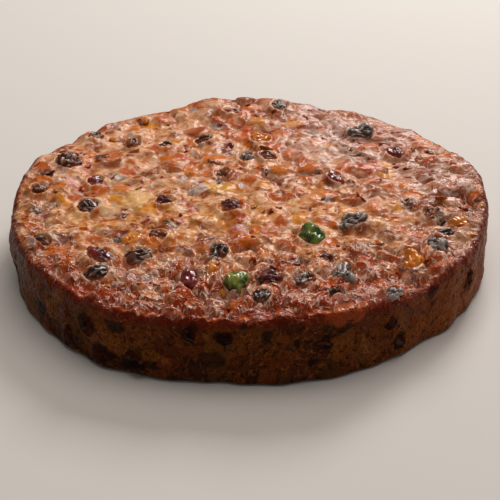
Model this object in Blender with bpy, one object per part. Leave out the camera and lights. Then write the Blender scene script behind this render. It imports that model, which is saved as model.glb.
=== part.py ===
"""A round fruitcake about ten inches across.

One baked body with an uneven rim, and the raisins, glace cherries and apricot pieces that show in
its crust, each sitting in its own pocket. The origin is the middle of the flat foot, +Z is up, and
the front is towards -Y. Sizes are in millimetres and angles in degrees, anticlockwise from +X.
"""

import math
import random

import bmesh
import bpy
from mathutils import Matrix, Vector, noise

MM = 0.001

# The body.
RADIUS = 127.0
HEIGHT = 34.6
CROWN = 1.2
EDGE_RADIUS = 4.0
FOOT_TURN = 1.4
TOP_CELLS = 34
EDGE_STEPS = 2
SIDE_ROWS = 4

# The rim rises and dips, and the side stands out and in: middle angle, reach to each side, rise.
RIM_SWELLS = (
    (6, 22, 5.2),
    (90, 22, 2.6),
    (101, 8, 3.0),
    (166, 26, 4.2),
    (230, 7, -1.0),
    (237, 6, 1.2),
    (278, 16, 2.0),
    (309, 17, -3.9),
    (334, 10, -2.6),
)
SIDE_SWELLS = (
    (180, 34, -1.4),
    (236, 18, 2.6),
    (264, 14, -2.2),
    (290, 14, 0.6),
    (310, 12, -1.8),
)
RIM_SWELL_FROM = 0.62
RIM_SWELL_FULL = 0.92

# Single mounds and folds in the crust: x, y, half length, half width, heading, rise.
MOUNDS = (
    (-52, -99, 15, 8, -28, 2.2),
    (43, -113, 14, 8, 22, 2.8),
    (70, -40, 22, 6, -38, 1.4),
    (86, -73, 13, 4, 100, -3.0),
    (-96, 12, 8, 7, 0, 1.6),
    (38, -27, 18, 8, 12, 1.3),
    (-60, -8, 20, 14, 70, 1.2),
    (66, 30, 10, 8, 0, 1.5),
)

# The chopped fruit under the skin makes lumps all over.
LUMP_SIZE = 12.0
LUMP_RISE = 2.4
SIDE_LUMP_SIZE = 14.0
SIDE_LUMP_RISE = 1.6

# The lump that bulges over the front rim: its angle, and how far it stands out of the side.
BULGE = (290.7, 8, 2.2)
BULGE_DEPTH = 12.0

# Fruit on the top, set by hand: x, y, length, width, heading of the length.
RAISINS = (
    (-105, -47, 12, 9, 10),
    (-84, -12, 15, 12, -60),
    (-46, -46, 10, 9, 20),
    (-44, -9, 11, 9, -40),
    (-54, -65, 13, 9, 15),
    (-74, -80, 16, 9, 42),
    (-15, -64, 15, 10, 80),
    (-9, -17, 19, 8, -50),
    (54, -35, 18, 12, 38),
    (26, -90, 15, 10, 58),
    (46, -85, 15, 11, 84),
    (38, -104, 10, 9, 15),
    (9, -91, 15, 14, 0),
    (5, -107, 11, 9, 70),
    (94, -27, 11, 9, 50),
    (99, -43, 13, 8, 12),
    (94, -60, 15, 10, 100),
    (68, -100, 11, 8, 30),
    (-100, 39, 20, 15, 84),
    (-88, 74, 12, 9, 60),
    (-65, 64, 14, 8, 100),
    (-47, 60, 11, 9, -30),
    (-25, 67, 11, 9, 0),
    (-8, 104, 12, 9, 0),
    (-1, 42, 10, 8, 90),
    (21, 113, 16, 11, 95),
    (67, 73, 15, 13, 10),
    (-14, 24, 11, 8, -40),
    (12, 43, 10, 8, 10),
    (-112, 5, 11, 9, -60),
)
GREEN_CHERRIES = (
    (-6.5, -93, 15, 14, 90),
    (32, -49, 16, 13, 90),
)
RED_CHERRIES = (
    (-28, -89, 19, 10, 100),
    (-73, -64, 18, 10, -42),
    (-83, 17, 14, 8, -62),
    (84, 44, 14, 9, -62),
    (48, 15, 13, 8, 104),
)
APRICOTS = (
    (-58, -49, 17, 10, 80),
    (80, -71, 19, 9, 82),
    (-18, -83, 15, 6, 74),
    (8, 66, 13, 10, 30),
    (107, -36, 10, 9, 0),
)

# Fruit in the side, flush as the tin pressed it: angle, height, length, width, turn from level.
SIDE_RAISINS = (
    (227, 9, 12, 10, 80),
    (237, 8.5, 11, 9, 0),
    (245, 9, 13, 10, 10),
    (234, 22, 15, 10, 30),
    (257, 26, 10, 7, -40),
    (265, 25, 10, 8, 0),
    (285, 20, 12, 7, -10),
    (301, 21, 12, 7, 84),
    (304, 9, 11, 7, -30),
    (329, 20, 14, 8, 100),
)
BACK_RAISINS = 7
BACK_FROM = 350
BACK_TURN = 216
BACK_SEED = 11
BACK_SPREAD = (0.2, 0.8)
BACK_HEIGHTS = (9, 25)
BACK_LENGTHS = (10, 14)
BACK_WIDTH_SHARES = (0.6, 0.8)
BACK_LARGEST_TURN = 60

# How each kind sits: thickness as a share of its width, share of it that stands proud, wrinkle depth.
RAISIN_FORM = (0.62, 0.42, 0.17)
CHERRY_FORM = (0.74, 0.40, 0.05)
APRICOT_FORM = (0.60, 0.36, 0.08)
SIDE_FORM = (0.66, 0.16, 0.12)
WRINKLE_SIZE = 0.62
POCKET_GAP = 0.35
LARGE_FRUIT = 13
LARGE_SIDES = 10
SMALL_SIDES = 8
SLOPE_REACH = 4.0
SHARP_ANGLE = 40

# The finishes: colour in linear values, and roughness.
CRUST_LOOK = ((0.36, 0.10, 0.035), 0.4)
RAISIN_LOOK = ((0.03, 0.016, 0.013), 0.35)
GREEN_CHERRY_LOOK = ((0.06, 0.13, 0.02), 0.2)
RED_CHERRY_LOOK = ((0.25, 0.02, 0.02), 0.2)
APRICOT_LOOK = ((0.75, 0.25, 0.02), 0.3)


def swell(swells, angle):
    """The sum of the swells at an angle, each a smooth hump."""
    total = 0.0
    for middle, reach, rise in swells:
        away = abs((angle - middle + 180) % 360 - 180)
        if away < reach:
            total += rise * 0.5 * (1 + math.cos(math.pi * away / reach))
    return total


def mound(x, y, middle_x, middle_y, half_length, half_width, heading, rise):
    """A smooth oval hump, highest at its middle."""
    turn = math.radians(heading)
    along = (x - middle_x) * math.cos(turn) + (y - middle_y) * math.sin(turn)
    across = (y - middle_y) * math.cos(turn) - (x - middle_x) * math.sin(turn)
    away = math.hypot(along / half_length, across / half_width)
    return rise * 0.5 * (1 + math.cos(math.pi * away)) if away < 1 else 0.0


def smooth_step(low, high, value):
    share = min(max((value - low) / (high - low), 0), 1)
    return share * share * (3 - 2 * share)


def side_radius(angle):
    return RADIUS + swell(SIDE_SWELLS, angle)


def top_height(x, y):
    """How high the crust stands over a point of the plan, inside the rounded edge."""
    reach = math.hypot(x, y) / RADIUS
    angle = math.degrees(math.atan2(y, x))
    height = HEIGHT + CROWN * (1 - reach * reach)
    height += swell(RIM_SWELLS, angle) * smooth_step(RIM_SWELL_FROM, RIM_SWELL_FULL, reach)
    height += sum(mound(x, y, *shape) for shape in MOUNDS)
    height += LUMP_RISE * noise.noise(Vector((x, y, 0)) / LUMP_SIZE)
    return height


def side_point(angle, height, rim):
    """A point of the side wall, with the lumps of the fruit behind it."""
    lump = SIDE_LUMP_RISE * noise.noise(
        Vector((RADIUS * math.radians(angle), height, RADIUS)) / SIDE_LUMP_SIZE
    )
    fade = smooth_step(rim - BULGE_DEPTH, rim, height)
    out = side_radius(angle) + lump * (1 - fade) + swell((BULGE,), angle) * fade
    return out


def square_to_disc(u, v):
    """The point of the unit disc for a point of the square, as even in size as the square's cells."""
    if u == 0 and v == 0:
        return Vector((0, 0))
    if abs(u) > abs(v):
        reach, turn = u, math.pi / 4 * v / u
    else:
        reach, turn = v, math.pi / 2 - math.pi / 4 * u / v
    return Vector((reach * math.cos(turn), reach * math.sin(turn)))


def edge_ring(bm, edges):
    """The new loop of points below a loop of edges, with the wall between them."""
    grown = bmesh.ops.extrude_edge_only(bm, edges=edges)["geom"]
    points = [item for item in grown if isinstance(item, bmesh.types.BMVert)]
    loop = [item for item in grown if isinstance(item, bmesh.types.BMEdge)]
    ring = set(points)
    return points, [edge for edge in loop if all(end in ring for end in edge.verts)]


def body_mesh():
    """The top as a grid on a disc, then the edge, side and foot as rings, closed underneath."""
    bm = bmesh.new()
    bmesh.ops.create_grid(bm, x_segments=TOP_CELLS, y_segments=TOP_CELLS, size=1)
    for point in bm.verts:
        flat = square_to_disc(point.co.x, point.co.y)
        angle = math.degrees(math.atan2(flat.y, flat.x))
        flat *= side_radius(angle) - EDGE_RADIUS
        point.co = (flat.x, flat.y, top_height(flat.x, flat.y))
    loop = [edge for edge in bm.edges if edge.is_boundary]
    ends = {end for edge in loop for end in edge.verts}
    rims = {round(math.degrees(math.atan2(end.co.y, end.co.x)), 3): end.co.z for end in ends}

    levels = [("edge", 90 * step / EDGE_STEPS) for step in range(1, EDGE_STEPS + 1)]
    levels += [("side", step / SIDE_ROWS) for step in range(1, SIDE_ROWS + 1)]
    levels += [("foot", 0)]
    for kind, share in levels:
        points, loop = edge_ring(bm, loop)
        for point in points:
            angle = math.degrees(math.atan2(point.co.y, point.co.x))
            rim = rims[round(angle, 3)]
            shoulder = rim - EDGE_RADIUS
            if kind == "edge":
                turn = math.radians(share)
                height = shoulder + EDGE_RADIUS * math.cos(turn)
                out = side_point(angle, height, rim) - EDGE_RADIUS * (1 - math.sin(turn))
            elif kind == "side":
                height = shoulder + (FOOT_TURN - shoulder) * share
                out = side_point(angle, height, rim)
            else:
                height = 0
                out = side_point(angle, FOOT_TURN, rim) - FOOT_TURN
            turn = math.radians(angle)
            point.co = (out * math.cos(turn), out * math.sin(turn), height)
    bmesh.ops.contextual_create(bm, geom=loop)
    bmesh.ops.scale(bm, vec=(MM, MM, MM), verts=bm.verts)
    bmesh.ops.recalc_face_normals(bm, faces=bm.faces)
    return finished(bm, "cake")


def fruit_mesh(name, size, wrinkle, seed, grow):
    """A lump of the given full size, wrinkled by seeded noise and grown outwards all round."""
    sides = LARGE_SIDES if max(size) >= LARGE_FRUIT else SMALL_SIDES
    bm = bmesh.new()
    bmesh.ops.create_uvsphere(bm, u_segments=sides, v_segments=sides // 2, radius=1)
    for point in bm.verts:
        point.co *= 1 + wrinkle * noise.noise(point.co / WRINKLE_SIZE + Vector((seed, 0, 0)))
    half = [side / 2 + grow for side in size]
    bmesh.ops.scale(bm, vec=[side * MM for side in half], verts=bm.verts)
    bmesh.ops.triangulate(bm, faces=bm.faces)
    return finished(bm, name)


def finished(bm, name):
    mesh = bpy.data.meshes.new(name)
    bm.to_mesh(mesh)
    bm.free()
    mesh.shade_smooth()
    mesh.set_sharp_from_angle(angle=math.radians(SHARP_ANGLE))
    return mesh


def material(name, colour, roughness):
    made = bpy.data.materials.new(name)
    made.use_nodes = True
    shader = made.node_tree.nodes["Principled BSDF"]
    shader.inputs["Base Color"].default_value = (*colour, 1)
    shader.inputs["Roughness"].default_value = roughness
    shader.inputs["Metallic"].default_value = 0
    return made


def place(mesh, matrix, collection, look):
    made = bpy.data.objects.new(mesh.name, mesh)
    made.matrix_world = matrix
    mesh.materials.append(look)
    collection.objects.link(made)
    return made


def add_fruit(name, size, wrinkle, matrix, look, pockets):
    """One piece of fruit, and the slightly larger cutter that opens its pocket."""
    seed = sum(ord(letter) for letter in name)
    place(fruit_mesh(name, size, wrinkle, seed, 0), matrix, bpy.context.scene.collection, look)
    cutter = place(
        fruit_mesh(name + "_pocket", size, wrinkle, seed, POCKET_GAP), matrix, pockets, look
    )
    cutter.hide_render = True
    cutter.display_type = "WIRE"


def top_fruit(kind, rows, form, look, pockets):
    """Fruit lying in the crust, tipped to follow the lumps under it."""
    thick, proud, wrinkle = form
    step = SLOPE_REACH
    for number, (x, y, length, width, heading) in enumerate(rows, start=1):
        thickness = thick * width
        slope_x = (top_height(x + step, y) - top_height(x - step, y)) / (2 * step)
        slope_y = (top_height(x, y + step) - top_height(x, y - step)) / (2 * step)
        up = Vector((-slope_x, -slope_y, 1)).normalized()
        lift = thickness * (proud - 0.5)
        middle = Vector((x, y, top_height(x, y))) + up * lift
        tilt = Vector((0, 0, 1)).rotation_difference(up).to_matrix().to_4x4()
        matrix = Matrix.Translation(middle * MM) @ tilt @ Matrix.Rotation(math.radians(heading), 4, "Z")
        size = (length, width, thickness)
        add_fruit(f"{kind}_{number:02d}", size, wrinkle, matrix, look, pockets)


def side_fruit(kind, first, rows, form, look, pockets):
    """Fruit lying in the side wall, its flat way against the wall."""
    thick, proud, wrinkle = form
    for number, (angle, height, length, width, turn) in enumerate(rows, start=first):
        thickness = thick * width
        out = side_radius(angle) + thickness * (proud - 0.5)
        matrix = (
            Matrix.Rotation(math.radians(angle), 4, "Z")
            @ Matrix.Translation(Vector((out, 0, height)) * MM)
            @ Matrix.Rotation(math.radians(turn), 4, "X")
        )
        size = (thickness, length, width)
        add_fruit(f"{kind}_{number:02d}", size, wrinkle, matrix, look, pockets)


def back_rows():
    """Raisins spread evenly round the side away from the front, at seeded heights."""
    draw = random.Random(BACK_SEED)
    rows = []
    for number in range(BACK_RAISINS):
        angle = BACK_FROM + BACK_TURN * (number + draw.uniform(*BACK_SPREAD)) / BACK_RAISINS
        length = draw.uniform(*BACK_LENGTHS)
        width = length * draw.uniform(*BACK_WIDTH_SHARES)
        height = draw.uniform(*BACK_HEIGHTS)
        rows.append((angle, height, length, width, draw.uniform(-BACK_LARGEST_TURN, BACK_LARGEST_TURN)))
    return rows


def build():
    for old in list(bpy.data.objects):
        bpy.data.objects.remove(old, do_unlink=True)
    crust = material("baked_crust", *CRUST_LOOK)
    dark = material("raisin", *RAISIN_LOOK)
    green = material("green_glace_cherry", *GREEN_CHERRY_LOOK)
    red = material("red_glace_cherry", *RED_CHERRY_LOOK)
    amber = material("candied_apricot", *APRICOT_LOOK)

    pockets = bpy.data.collections.new("pockets")
    bpy.context.scene.collection.children.link(pockets)
    top_fruit("raisin", RAISINS, RAISIN_FORM, dark, pockets)
    top_fruit("green_cherry", GREEN_CHERRIES, CHERRY_FORM, green, pockets)
    top_fruit("red_cherry", RED_CHERRIES, CHERRY_FORM, red, pockets)
    top_fruit("apricot", APRICOTS, APRICOT_FORM, amber, pockets)
    first = len(RAISINS) + 1
    side_fruit("raisin", first, SIDE_RAISINS + tuple(back_rows()), SIDE_FORM, dark, pockets)

    cake = place(body_mesh(), Matrix.Identity(4), bpy.context.scene.collection, crust)
    cut = cake.modifiers.new("fruit pockets", "BOOLEAN")
    cut.operation = "DIFFERENCE"
    cut.operand_type = "COLLECTION"
    cut.collection = pockets
    cut.solver = "EXACT"


build()
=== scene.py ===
import math
import random

import bmesh
import bpy
import numpy as np
from mathutils import Matrix, Vector, noise
from mathutils.bvhtree import BVHTree


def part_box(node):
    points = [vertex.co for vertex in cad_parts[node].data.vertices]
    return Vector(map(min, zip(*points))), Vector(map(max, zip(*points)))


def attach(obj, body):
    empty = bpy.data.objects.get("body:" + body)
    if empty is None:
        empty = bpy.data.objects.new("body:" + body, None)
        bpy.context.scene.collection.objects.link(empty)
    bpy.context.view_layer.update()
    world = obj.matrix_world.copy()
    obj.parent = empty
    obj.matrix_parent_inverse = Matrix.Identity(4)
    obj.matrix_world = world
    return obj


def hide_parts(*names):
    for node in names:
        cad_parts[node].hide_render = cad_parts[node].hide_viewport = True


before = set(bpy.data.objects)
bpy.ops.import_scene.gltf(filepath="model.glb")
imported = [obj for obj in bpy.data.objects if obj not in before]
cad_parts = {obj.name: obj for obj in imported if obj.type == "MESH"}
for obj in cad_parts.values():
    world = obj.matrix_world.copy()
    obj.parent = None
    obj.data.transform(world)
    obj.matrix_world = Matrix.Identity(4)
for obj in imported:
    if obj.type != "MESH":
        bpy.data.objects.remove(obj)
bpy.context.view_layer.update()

MM = 0.001

# The cake's form, in millimetres and degrees, as the solids have it.
RADIUS = 127.0
HEIGHT = 34.6
CROWN = 1.2
EDGE_RADIUS = 4.0
FOOT_TURN = 1.4
RIM_SWELLS = (
    (6, 22, 5.2),
    (90, 22, 2.6),
    (101, 8, 3.0),
    (166, 26, 4.2),
    (230, 7, -1.0),
    (237, 6, 1.2),
    (278, 16, 2.0),
    (309, 17, -3.9),
    (334, 10, -2.6),
)
SIDE_SWELLS = (
    (180, 34, -1.4),
    (236, 18, 2.6),
    (264, 14, -2.2),
    (290, 14, 0.6),
    (310, 12, -1.8),
)
RIM_SWELL_FROM = 0.62
RIM_SWELL_FULL = 0.92
MOUNDS = (
    (-52, -99, 15, 8, -28, 2.2),
    (43, -113, 14, 8, 22, 2.8),
    (70, -40, 22, 6, -38, 1.4),
    (86, -73, 13, 4, 100, -3.0),
    (-96, 12, 8, 7, 0, 1.6),
    (38, -27, 18, 8, 12, 1.3),
    (-60, -8, 20, 14, 70, 1.2),
    (66, 30, 10, 8, 0, 1.5),
)
LUMP_SIZE = 12.0
LUMP_RISE = 2.4
SIDE_LUMP_SIZE = 14.0
SIDE_LUMP_RISE = 1.6
BULGE = (290.7, 8, 2.2)
BULGE_DEPTH = 12.0

# Raisins of another look than near black and glossy; the grey ones are painted with their sheen.
TINTS = {
    **{f"raisin_{at:02d}": "side" for at in range(31, 48)},
    **{f"raisin_{at:02d}": "brown" for at in (3, 15, 19, 20, 21, 23, 24, 28, 30)},
    **{f"raisin_{at:02d}": "maroon" for at in (4, 8, 13, 29)},
    **{f"raisin_{at:02d}": "grey_sheen" for at in (9, 11, 17, 18, 25, 26, 27)},
}

# The smaller pieces that show one by one: x, y, length, width, heading and colour.
RAISIN_PIECES = (
    (-16, 15, 6, 5, 90, "#3A2A24"),
    (38, 22, 9, 6, 70, "#4A1E14"),
    (9, 25, 9, 5, 10, "#6A4A3C"),
    (25, 13, 8, 4, 90, "#4A403C"),
    (14, 13, 9, 6, -30, "#6A2A18"),
    (-67, -25, 10, 5, -70, "#4A4444"),
    (-66, -45, 9, 5, -70, "#3A3430"),
    (-39, -34, 9, 6, 90, "#241610"),
    (42, -10, 9, 4, 0, "#4A3028"),
    (40, -67, 10, 4, -20, "#3A2018"),
    (22, -71, 8, 4, 0, "#4A2418"),
    (57, 50, 13, 4, -60, "#54201A"),
    (62, 47, 9, 4, 50, "#54201A"),
    (37, 75, 13, 9, 0, "#6A4A20"),
    (-22, -48, 15, 10, -60, "#6E2410"),
    (84, -14, 10, 6, -70, "#5A2A1A"),
    (-104, -8, 11, 8, -60, "#4A241A"),
    (-112, -15, 10, 8, -60, "#54382E"),
    (-83, 48, 10, 6, -60, "#4A3C38"),
    (-110, 21, 12, 8, -60, "#54281A"),
    (12, 21, 12, 5, 0, "#5A2C1E"),
    (60, 44, 8, 6, 90, "#4E1A16"),
    (105, 45, 8, 7, 0, "#5A2420"),
    (97, -29, 12, 10, 90, "#2A1A16"),
)
# Grey film over fruit, partly painted sheen: x, y, length, width, heading and colour.
FILM_SHEEN_PATCHES = (
    (-17, 88, 13, 7, -60, "#8A8084"),
    (58, -57, 10, 8, 0, "#7A5448"),
    (-72, 24, 12, 8, -60, "#6E6450"),
    (-34, 19, 13, 9, 0, "#9A8E88"),
    (-27, 5, 13, 9, 40, "#B0A8A8"),
)
PEEL_PIECES = (
    (-73, -18, 18, 12, -60, "#D8A868"),
    (-59, -5, 26, 16, 80, "#E4B470"),
    (-16, 7, 22, 15, -40, "#E0AC50"),
    (-91, 29, 18, 11, -60, "#C4661C"),
    (-97, -24, 18, 10, -50, "#A8601E"),
    (-31, 30, 17, 13, 90, "#CC7424"),
    (-51, 30, 17, 7, 80, "#8A3C18"),
    (-44, -64, 16, 11, 80, "#B05A22"),
    (30, 83, 24, 8, 40, "#A84418"),
    (13, -6, 18, 11, 90, "#C0641A"),
    (22, -3, 14, 10, 40, "#B8561A"),
    (35, 5, 20, 10, 20, "#CC7A2C"),
    (45, -13, 22, 9, 15, "#C66E24"),
    (-4, -12, 18, 9, -60, "#A8401A"),
    (-32, -15, 20, 9, -60, "#A84412"),
    (-42, -25, 15, 10, 0, "#C06A1C"),
    (-12, -35, 16, 11, 20, "#D08038"),
    (13, -38, 20, 12, 60, "#BC5A1E"),
    (72, -5, 12, 9, 80, "#A86428"),
    (53, 27, 16, 9, 80, "#B44A14"),
    (68, 30, 18, 16, 0, "#B44620"),
    (-45, 53, 15, 9, 0, "#C4682A"),
    (-24, 54, 14, 12, 0, "#C8743A"),
    (0, 72, 18, 14, 40, "#BE5E20"),
    (34, 85, 14, 8, 30, "#A04018"),
    (-95, 4, 10, 9, 0, "#B87A4C"),
    (106, -38, 14, 11, 0, "#A84812"),
    (70, -72, 20, 9, 10, "#A83C12"),
    (-60, -75, 22, 9, -60, "#A0380C"),
    (-90, -60, 14, 10, 40, "#B45420"),
    (43, -115, 26, 12, 20, "#A84C1C"),
    (90, -27, 30, 9, 90, "#A8561C"),
    (86, 43, 15, 8, -40, "#9A3010"),
    (-71, -20, 9, 12, 70, "#D0AE8C"),
    (-80, -13, 12, 6, 20, "#D4B8A4"),
)
CHERRY_PIECES = (
    (-5, -38, 9, 7, 0, "#C87878"),
    (20, -105, 11, 10, 30, "#A82A10"),
    (116, -27, 12, 9, 60, "#7A2216"),
    (-94, -44, 13, 10, 30, "#6A1C10"),
    (-106, -18, 11, 8, -60, "#A8341C"),
    (-37, 44, 11, 9, 0, "#BC4426"),
    (-88, 62, 10, 8, 0, "#9A4A34"),
    (81, 74, 17, 8, -20, "#98402C"),
    (92, 70, 13, 8, -40, "#98402C"),
    (-95, 14, 15, 12, 90, "#D09484"),
    (47, 15, 14, 9, -70, "#9A2A10"),
    (-57, -84, 12, 8, -30, "#8A2412"),
    (55, -92, 14, 9, 20, "#902C18"),
    (-100, -65, 13, 8, 40, "#963A1C"),
)
# The fruit that shows through the side: angle, height, length, height of the patch and colour.
SIDE_PATCHES = (
    (227.8, 8.6, 10, 10, "#160602"),
    (237.2, 8.2, 12, 11, "#1E0A06"),
    (243.8, 6.5, 14, 9, "#120604"),
    (249.1, 8.1, 11, 5, "#160804"),
    (233.1, 21.9, 10, 11, "#2A1604"),
    (241.0, 25.5, 12, 6, "#1C0A04"),
    (257.7, 30.0, 7, 6, "#200A04"),
    (263.3, 27.3, 5, 6, "#140602"),
    (265.4, 27.2, 5, 5, "#2A1406"),
    (268.5, 33.2, 4, 3, "#200A04"),
    (273.4, 27.4, 6, 5, "#1C0A06"),
    (261.8, 13.2, 12, 11, "#2C1204"),
    (276.9, 25.4, 6, 9, "#7C3C0C"),
    (280.1, 22.9, 4, 5, "#180604"),
    (284.7, 21.8, 9, 5, "#1E1004"),
    (289.3, 26.2, 5, 4, "#1C0E04"),
    (283.0, 12.2, 6, 4, "#160604"),
    (290.0, 33.5, 24, 9, "#A0441A"),
    (303.9, 10.8, 8, 5, "#1A0804"),
    (314.2, 26.1, 9, 6, "#2A1206"),
    (226.8, 24.8, 12, 7, "#5A2008"),
)
SIDE_PATCH_COLOURS = ("#160602", "#1E0A04", "#2A1406", "#6E3008", "#8A4810")
PEEL_COLOURS = ("#B4540C", "#C46C14", "#A8440C", "#D08428", "#BC6A34", "#9A3A10")
CHERRY_COLOURS = ("#8E1E10", "#A8341A", "#6E140E", "#B8503A")

# How finely the skin is divided.
TOP_CELLS = 236
EDGE_STEPS = 6
SIDE_ROWS = 28

# The skin's pattern: the sizes of its parts, and how far it is bent, in the middle and in front.
CHUNK_SIZE = 12.0
BIT_SIZE = 4.6
FOLD_SIZE = 9.0
WRINKLE_SIZE = 5.2
STRAND_SIZE = 3.0
BEND = 12.0
FRONT_BEND = 8.0

# How the crust meets a piece of fruit, in half sizes of the fruit: where it starts to lift, and its lip.
LIFTS = (0.8, 1.2)
LIP_RISES = (0.88, 1.08)
LIP_FALLS = (1.08, 1.8)
FRUIT_REACH_UP = 1.6

# Where the crust is crumpled: the front, the right and the rim's front, and how much it lifts there.
FRONT_CRUMPLED = (30, 95)
RIGHT_CRUMPLED = (50, 105)
RIGHT_LEAN = 0.5
RIGHT_SHARE = 0.4
RIM_CRUMPLED = (-30, -6)
RIM_FADES_BACK = (60, -60)
CALM_LIFT = 0.6
CRUMPLED_LIFT = 0.55
SIDE_BEGINS = (-3, 4)
SIDE_LIFT_LOST = 0.8
SIDE_LIP_LOST = 0.6
CRUMPLED_FROM = 0.4
CRUMPLED_WANDER = 0.5

SIDE_LOOK_FROM = 1.5
# A painted sheen: a broad pale patch on the back right of the top, its middle and reach in millimetres.
SHEEN_PATCH_MIDDLE = (45.0, 66.0, 0.0)
SHEEN_PATCH_REACH = 36.0
RAISIN_WRINKLE = 3.0
GLACE_WRINKLE = 4.0
DYE_WANDER = 3.0
DYE_WANDER_SIZE = 6.0
# The vector noise starts from the clock unless it has a seed.
DYE_SEED = 7
DYE_FADES = (0.75, 1.15)

# The seeded patches round the back of the side: how many, from which angle, how far apart and how large.
BACK_PATCHES = 48
BACK_FROM = 320
BACK_STEP = 5.3
BACK_SHIFT = 0.3
BACK_SIZES = (4, 12)
BACK_HEIGHTS = (5, 30)
BACK_FLATNESS = (0.5, 1)

# A fruit's rounded skin stands this much larger than its solid, and each small piece this rough and deep.
SKIN_SWELL = 1.04
CHOPPED_ROUGHNESS = 0.55
CHOPPED_ROUGH_SCALE = 1.1
CHOPPED_SINKS = 0.8
ABOVE_CAKE = 80

# What the seeded small pieces are: how many, the shortest and the longest, and how far they stand out.
PEEL_COUNT = 60
PEEL_LENGTHS = (5, 10)
PEEL_PROUD = 0.25
CHERRY_COUNT = 24
CHERRY_LENGTHS = (4, 8)
CHERRY_PROUD = 0.3
RAISIN_PROUD = -0.1

# The colours of the chips and of the cake between them, by share.
FRUIT_STOPS = (
    (0.0, "#7A3210"),
    (0.1, "#B24E0A"),
    (0.26, "#CA600A"),
    (0.46, "#CE6C12"),
    (0.6, "#DA8E2A"),
    (0.7, "#BA460A"),
    (0.84, "#90360C"),
    (0.93, "#682012"),
)
# The small chips' last, grey stop is a painted sheen on a few of them.
SMALL_FRUIT_STOPS = ((0.0, "#7A3010"), (0.3, "#98400C"), (0.6, "#B8560E"), (0.85, "#A89A92"))
PLAIN_STOPS = ((0.35, "#BA703E"), (0.5, "#D89C6E"), (0.65, "#E8BE9E"))
WARM_STOPS = ((0.35, "#BE6618"), (0.5, "#DA9856"), (0.65, "#EABC8E"))
BRICK_STOPS = ((0.36, "#8E2E08"), (0.5, "#CA6222"), (0.66, "#E09860"))
SIDE_FRUIT_STOPS = (
    (0.0, "#1A0602"),
    (0.2, "#562408"),
    (0.4, "#7E440C"),
    (0.6, "#30200A"),
    (0.72, "#4A1C04"),
    (0.88, "#6E3008"),
)

# Baked sugar and fruit flesh both bend light a little less than glass.
FOOD_IOR = 1.45
# How much pale bloom a raisin shows, partly painted sheen, for its gloss.
SHEEN_BLOOM_SHARE = 1.6

# The crust's finishes: roughness, gloss and fineness of grain.
CRUST_FINISHES = (
    ("glazed_cake_top", 0.32, 0.2, 0.5),
    ("crumpled_cake_glaze", 0.28, 0.3, 0.5),
    ("baked_cake_side", 0.34, 0.1, 2.2),
)
# The dried fruit: material, colour in the grooves (painted shade), colour on the ridges (painted sheen),
# roughness, gloss, coat and the film that laps over it.
DRIED_FRUIT = {
    "raisin": ("raisin_skin", "#1A0C06", "#643C2A", 0.3, 0.4, 0.15, "#945434"),
    "brown": ("sultana_skin", "#3A1408", "#8A4A28", 0.36, 0.3, 0.1, "#B87844"),
    "maroon": ("currant_skin_maroon", "#34100E", "#7A3A36", 0.34, 0.3, 0.1, "#A8684C"),
    # grey raisin skin: its grey is painted sheen
    "grey_sheen": ("sheened_raisin_skin", "#3E302A", "#A0948E", 0.33, 0.36, 0.15, "#A87860"),
    "side": ("baked_raisin_skin", "#0E0402", "#240C04", 0.55, 0.06, 0.0, "#4C1A06"),
}
# The sugared fruit: material, and its colour where it is thick, between and where it is thin.
SUGARED_FRUIT = {
    "green_cherry": ("green_glace_cherry", "#16280C", "#466420", "#A2A24C"),
    "red_cherry": ("red_glace_cherry", "#3A0A0E", "#66161C", "#963024"),
    "apricot": ("candied_apricot", "#A04C0C", "#D07814", "#E8A038"),
}

# The lights: name, place in metres, size, power and colour.
LIGHTS = (
    ("window", (0.5, 1.25, 1.0), 0.6, 19.0, "#FFF8F4"),
    ("ceiling", (0.15, 0.15, 1.4), 1.3, 10.3, "#FFF2E8"),
)
FLOOR_COLOUR = "#D8D6D2"
SKY_COLOUR = "#F2EEEA"
SKY_STRENGTH = 0.17

# The camera of the photograph, aimed at the foot's middle.
CAMERA_AWAY = 713.96
CAMERA_ELEVATION = 29.936
CAMERA_ROLL = -1.0846
CAMERA_AIM = (0.65, 0.0, 0.5)
FOCAL_PIXELS = 1300
PHOTO_PIXELS = 500
SENSOR = 36.0


def linear(code):
    """An sRGB hex colour as the linear values that a shader takes."""
    parts = [int(code[at : at + 2], 16) / 255 for at in (1, 3, 5)]
    return [part / 12.92 if part <= 0.04045 else ((part + 0.055) / 1.055) ** 2.4 for part in parts] + [1]


def add(tree, kind, sockets=None, stops=(), **settings):
    """A node with its settings and colour stops; a socket takes a value, a hex colour or another's output."""
    node = tree.nodes.new(kind)
    for name, value in settings.items():
        setattr(node, name, value)
    for key, value in (sockets or {}).items():
        if isinstance(value, bpy.types.NodeSocket):
            tree.links.new(value, node.inputs[key])
        elif isinstance(value, str) and value.startswith("#"):
            node.inputs[key].default_value = linear(value)
        else:
            node.inputs[key].default_value = value
    for at, (place, code) in enumerate(stops):
        points = node.color_ramp.elements
        point = points[at] if at < len(points) else points.new(place)
        point.position = place
        point.color = linear(code)
    return node


# Values over a surface, from nodes. Places are in millimetres, and scales per millimetre.


def share_of(tree, *parts):
    """
    The product of the parts. A part is a number, an output, or an output with the two values between which it
    goes smoothly from 0 to 1, and after them the two values that it goes between where those are others.
    """
    total = None
    for part in parts:
        if isinstance(part, tuple):
            value, low, high, *ends = part
            at_low, at_high = ends or (0.0, 1.0)
            limits = {"From Min": low, "From Max": high, "To Min": at_low, "To Max": at_high}
            change = add(
                tree, "ShaderNodeMapRange", {"Value": value, **limits}, interpolation_type="SMOOTHSTEP"
            )
            part = change.outputs[0]
        if total is None:
            total = part
        else:
            total = add(tree, "ShaderNodeMath", {0: total, 1: part}, operation="MULTIPLY").outputs[0]
    return total


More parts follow.
